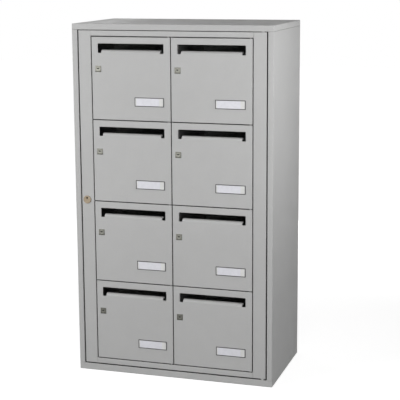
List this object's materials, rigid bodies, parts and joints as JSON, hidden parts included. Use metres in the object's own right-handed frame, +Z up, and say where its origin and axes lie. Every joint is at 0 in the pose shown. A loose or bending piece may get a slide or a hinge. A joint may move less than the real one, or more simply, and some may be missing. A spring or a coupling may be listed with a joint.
{
  "type": "collective mailbox unit",
  "caption": "Steel collective mailbox unit: letter doors with slots, name plates and cam locks in one hinged service frame, on a case with shelves and a divider.",
  "frame": {"origin": "middle of the unit's box on the floor: half its width, half its depth with the service lock, lowest point", "axes": "+Z up, -Y out of the front with the doors, +X to the right as seen from the front"},
  "size_m": [0.692, 0.381, 1.2],
  "materials": {
    "case_paint": "light grey powder coat, satin, fine texture",
    "inner_paint": "light grey powder coat, thin inside the case",
    "frame_paint": "light grey powder coat, satin, fine texture",
    "door_paint": "light grey powder coat, satin, fine texture",
    "plate_plastic": "dark grey plastic rim around a white card",
    "lock_chrome": "polished chrome plate on zinc",
    "plug_chrome": "polished chrome plate, worn around the key slot",
    "service_brass": "plain turned brass, slightly dulled",
    "cam_steel": "zinc-plated pressed steel",
    "pin_steel": "zinc-plated steel",
    "rivet_steel": "plain blind rivets"
  },
  "bodies": {
    "case": {"side_panel_left": "case_paint", "side_panel_right": "case_paint", "back_panel": "case_paint", "top_panel": "case_paint", "base_tray": "case_paint", "centre_divider": "inner_paint", "shelves": "inner_paint", "case_rivets": "rivet_steel", "service_pivots": "pin_steel", "service_strike": "pin_steel"},
    "service_frame": {"frame_stile_left": "frame_paint", "frame_stile_right": "frame_paint", "frame_rail_top": "frame_paint", "frame_rail_bottom": "frame_paint", "frame_mullion": "inner_paint", "frame_crossbars": "inner_paint", "door_pins": "pin_steel", "service_lock_body": "service_brass"},
    "service_key_plug": {"service_lock_plug": "service_brass", "service_lock_cam": "cam_steel"},
    "letter_door_left_1": {"door_left_1": "door_paint", "name_plate_left_1": "plate_plastic", "lock_body_left_1": "lock_chrome"},
    "key_plug_left_1": {"lock_plug_left_1": "plug_chrome", "lock_cam_left_1": "cam_steel"},
    "letter_door_left_2": {"door_left_2": "door_paint", "name_plate_left_2": "plate_plastic", "lock_body_left_2": "lock_chrome"},
    "key_plug_left_2": {"lock_plug_left_2": "plug_chrome", "lock_cam_left_2": "cam_steel"},
    "letter_door_left_3": {"door_left_3": "door_paint", "name_plate_left_3": "plate_plastic", "lock_body_left_3": "lock_chrome"},
    "key_plug_left_3": {"lock_plug_left_3": "plug_chrome", "lock_cam_left_3": "cam_steel"},
    "letter_door_left_4": {"door_left_4": "door_paint", "name_plate_left_4": "plate_plastic", "lock_body_left_4": "lock_chrome"},
    "key_plug_left_4": {"lock_plug_left_4": "plug_chrome", "lock_cam_left_4": "cam_steel"},
    "letter_door_right_1": {"door_right_1": "door_paint", "name_plate_right_1": "plate_plastic", "lock_body_right_1": "lock_chrome"},
    "key_plug_right_1": {"lock_plug_right_1": "plug_chrome", "lock_cam_right_1": "cam_steel"},
    "letter_door_right_2": {"door_right_2": "door_paint", "name_plate_right_2": "plate_plastic", "lock_body_right_2": "lock_chrome"},
    "key_plug_right_2": {"lock_plug_right_2": "plug_chrome", "lock_cam_right_2": "cam_steel"},
    "letter_door_right_3": {"door_right_3": "door_paint", "name_plate_right_3": "plate_plastic", "lock_body_right_3": "lock_chrome"},
    "key_plug_right_3": {"lock_plug_right_3": "plug_chrome", "lock_cam_right_3": "cam_steel"},
    "letter_door_right_4": {"door_right_4": "door_paint", "name_plate_right_4": "plate_plastic", "lock_body_right_4": "lock_chrome"},
    "key_plug_right_4": {"lock_plug_right_4": "plug_chrome", "lock_cam_right_4": "cam_steel"}
  },
  "joints": [
    {"name": "service_frame_swing", "type": "hinge", "parent": "case", "child": "service_frame", "pos_m": [0.31095, -0.1795, 0.6023], "axis": [0, 0, 1], "range_deg": [0, 110]},
    {"name": "service_lock_turn", "type": "hinge", "parent": "service_frame", "child": "service_key_plug", "pos_m": [-0.30375, -0.1875, 0.61], "axis": [0, 1, 0], "range_deg": [0, 90]},
    {"name": "door_left_1_swing", "type": "hinge", "parent": "service_frame", "child": "letter_door_left_1", "pos_m": [-0.0085, -0.183, 1.01965], "axis": [0, 0, 1], "range_deg": [0, 110]},
    {"name": "lock_left_1_turn", "type": "hinge", "parent": "letter_door_left_1", "child": "key_plug_left_1", "pos_m": [-0.2539, -0.1875, 1.05125], "axis": [0, 1, 0], "range_deg": [0, 90]},
    {"name": "door_left_2_swing", "type": "hinge", "parent": "service_frame", "child": "letter_door_left_2", "pos_m": [-0.0085, -0.183, 0.74165], "axis": [0, 0, 1], "range_deg": [0, 110]},
    {"name": "lock_left_2_turn", "type": "hinge", "parent": "letter_door_left_2", "child": "key_plug_left_2", "pos_m": [-0.2539, -0.1875, 0.77325], "axis": [0, 1, 0], "range_deg": [0, 90]},
    {"name": "door_left_3_swing", "type": "hinge", "parent": "service_frame", "child": "letter_door_left_3", "pos_m": [-0.0085, -0.183, 0.46365], "axis": [0, 0, 1], "range_deg": [0, 110]},
    {"name": "lock_left_3_turn", "type": "hinge", "parent": "letter_door_left_3", "child": "key_plug_left_3", "pos_m": [-0.2539, -0.1875, 0.49525], "axis": [0, 1, 0], "range_deg": [0, 90]},
    {"name": "door_left_4_swing", "type": "hinge", "parent": "service_frame", "child": "letter_door_left_4", "pos_m": [-0.0085, -0.183, 0.18565], "axis": [0, 0, 1], "range_deg": [0, 110]},
    {"name": "lock_left_4_turn", "type": "hinge", "parent": "letter_door_left_4", "child": "key_plug_left_4", "pos_m": [-0.2539, -0.1875, 0.21725], "axis": [0, 1, 0], "range_deg": [0, 90]},
    {"name": "door_right_1_swing", "type": "hinge", "parent": "service_frame", "child": "letter_door_right_1", "pos_m": [0.2693, -0.183, 1.01965], "axis": [0, 0, 1], "range_deg": [0, 110]},
    {"name": "lock_right_1_turn", "type": "hinge", "parent": "letter_door_right_1", "child": "key_plug_right_1", "pos_m": [0.0239, -0.1875, 1.05125], "axis": [0, 1, 0], "range_deg": [0, 90]},
    {"name": "door_right_2_swing", "type": "hinge", "parent": "service_frame", "child": "letter_door_right_2", "pos_m": [0.2693, -0.183, 0.74165], "axis": [0, 0, 1], "range_deg": [0, 110]},
    {"name": "lock_right_2_turn", "type": "hinge", "parent": "letter_door_right_2", "child": "key_plug_right_2", "pos_m": [0.0239, -0.1875, 0.77325], "axis": [0, 1, 0], "range_deg": [0, 90]},
    {"name": "door_right_3_swing", "type": "hinge", "parent": "service_frame", "child": "letter_door_right_3", "pos_m": [0.2693, -0.183, 0.46365], "axis": [0, 0, 1], "range_deg": [0, 110]},
    {"name": "lock_right_3_turn", "type": "hinge", "parent": "letter_door_right_3", "child": "key_plug_right_3", "pos_m": [0.0239, -0.1875, 0.49525], "axis": [0, 1, 0], "range_deg": [0, 90]},
    {"name": "door_right_4_swing", "type": "hinge", "parent": "service_frame", "child": "letter_door_right_4", "pos_m": [0.2693, -0.183, 0.18565], "axis": [0, 0, 1], "range_deg": [0, 110]},
    {"name": "lock_right_4_turn", "type": "hinge", "parent": "letter_door_right_4", "child": "key_plug_right_4", "pos_m": [0.0239, -0.1875, 0.21725], "axis": [0, 1, 0], "range_deg": [0, 90]}
  ]
}
